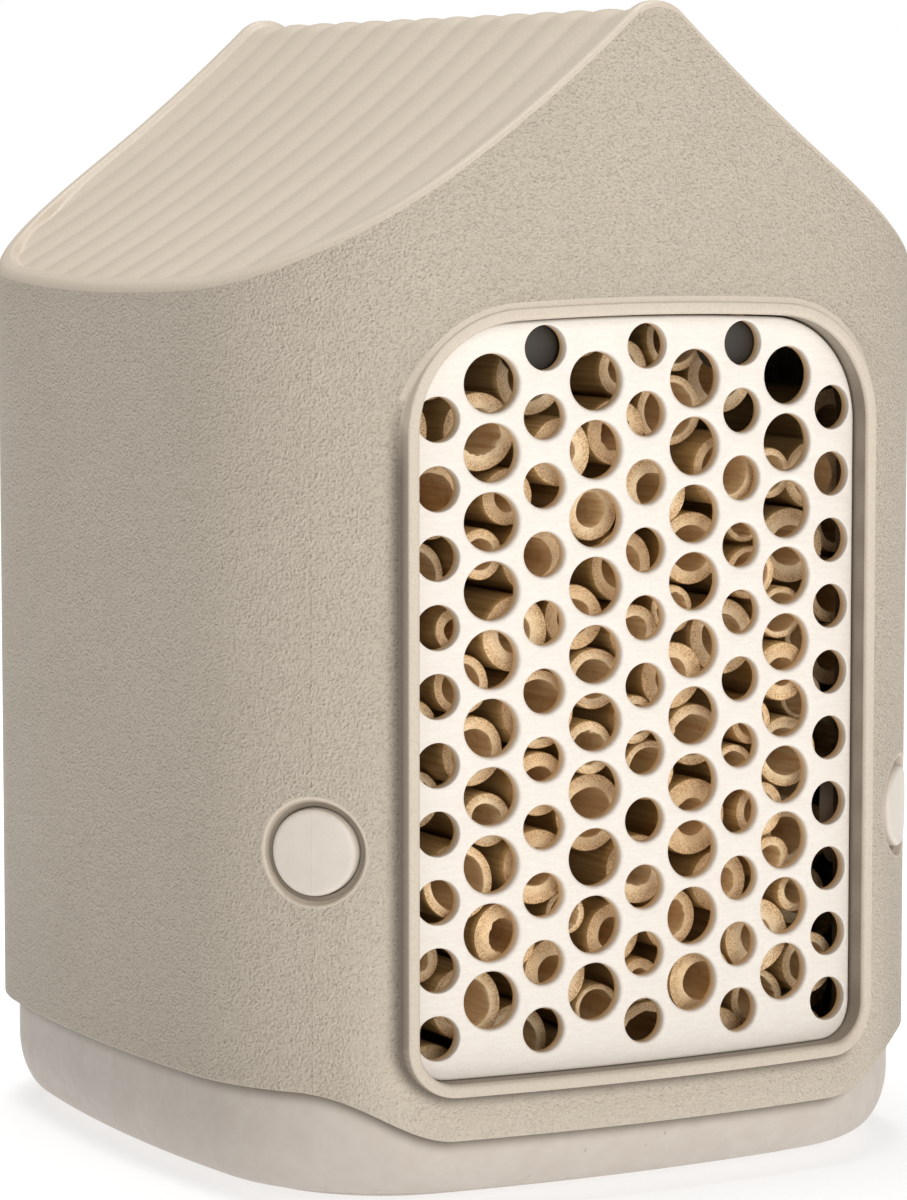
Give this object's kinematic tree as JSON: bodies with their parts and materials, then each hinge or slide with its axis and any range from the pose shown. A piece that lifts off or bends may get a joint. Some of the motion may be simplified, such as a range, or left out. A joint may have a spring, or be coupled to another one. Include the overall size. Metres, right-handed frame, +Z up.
{
  "type": "insect hotel",
  "caption": "House-shaped plastic insect hotel with a ribbed gable roof, a holed front grille over bamboo nesting tubes, a base tray and two corner push buttons.",
  "frame": {"origin": "middle of the footprint on the ground, under the foot ring", "axes": "+Z up, front with the grille faces -Y, +X to the right as seen from the front"},
  "size_m": [0.162, 0.1708, 0.2275],
  "materials": {
    "shell_plastic": "fine leather-grained taupe plastic, smoother on the roof",
    "base_plastic": "smooth warm grey-white plastic with sparse dark fibres",
    "grille_plastic": "smooth off-white plastic with a faint grain",
    "button_plastic": "smooth off-white plastic",
    "dark_plastic": "flat dark grey plastic",
    "spring_steel": "drawn wire",
    "bamboo": "sawn bamboo with pored cut faces and satin bores"
  },
  "bodies": {
    "hotel": {"outer_shell": "shell_plastic", "base_tray": "base_plastic", "front_grille": "grille_plastic", "left_grille_peg": "dark_plastic", "right_grille_peg": "dark_plastic", "left_button_spring": "spring_steel", "right_button_spring": "spring_steel", "bamboo_layer_01": "bamboo", "bamboo_layer_02": "bamboo", "bamboo_layer_03": "bamboo", "bamboo_layer_04": "bamboo", "bamboo_layer_05": "bamboo", "bamboo_layer_06": "bamboo", "bamboo_layer_07": "bamboo", "bamboo_layer_08": "bamboo", "bamboo_layer_09": "bamboo", "bamboo_layer_10": "bamboo", "bamboo_layer_11": "bamboo", "bamboo_layer_12": "bamboo", "bamboo_layer_13": "bamboo"},
    "left_button": {"left_button": "button_plastic"},
    "right_button": {"right_button": "button_plastic"}
  },
  "joints": [
    {"name": "left_button_press", "type": "slide", "parent": "hotel", "child": "left_button", "axis": [0.7071, 0.7071, 0], "range_m": [0, 0.004], "stiffness_N_per_m": 450, "springref_m": -0.003, "deforming": ["left_button_spring"]},
    {"name": "right_button_press", "type": "slide", "parent": "hotel", "child": "right_button", "axis": [-0.7071, 0.7071, 0], "range_m": [0, 0.004], "stiffness_N_per_m": 450, "springref_m": -0.003, "deforming": ["right_button_spring"]}
  ]
}
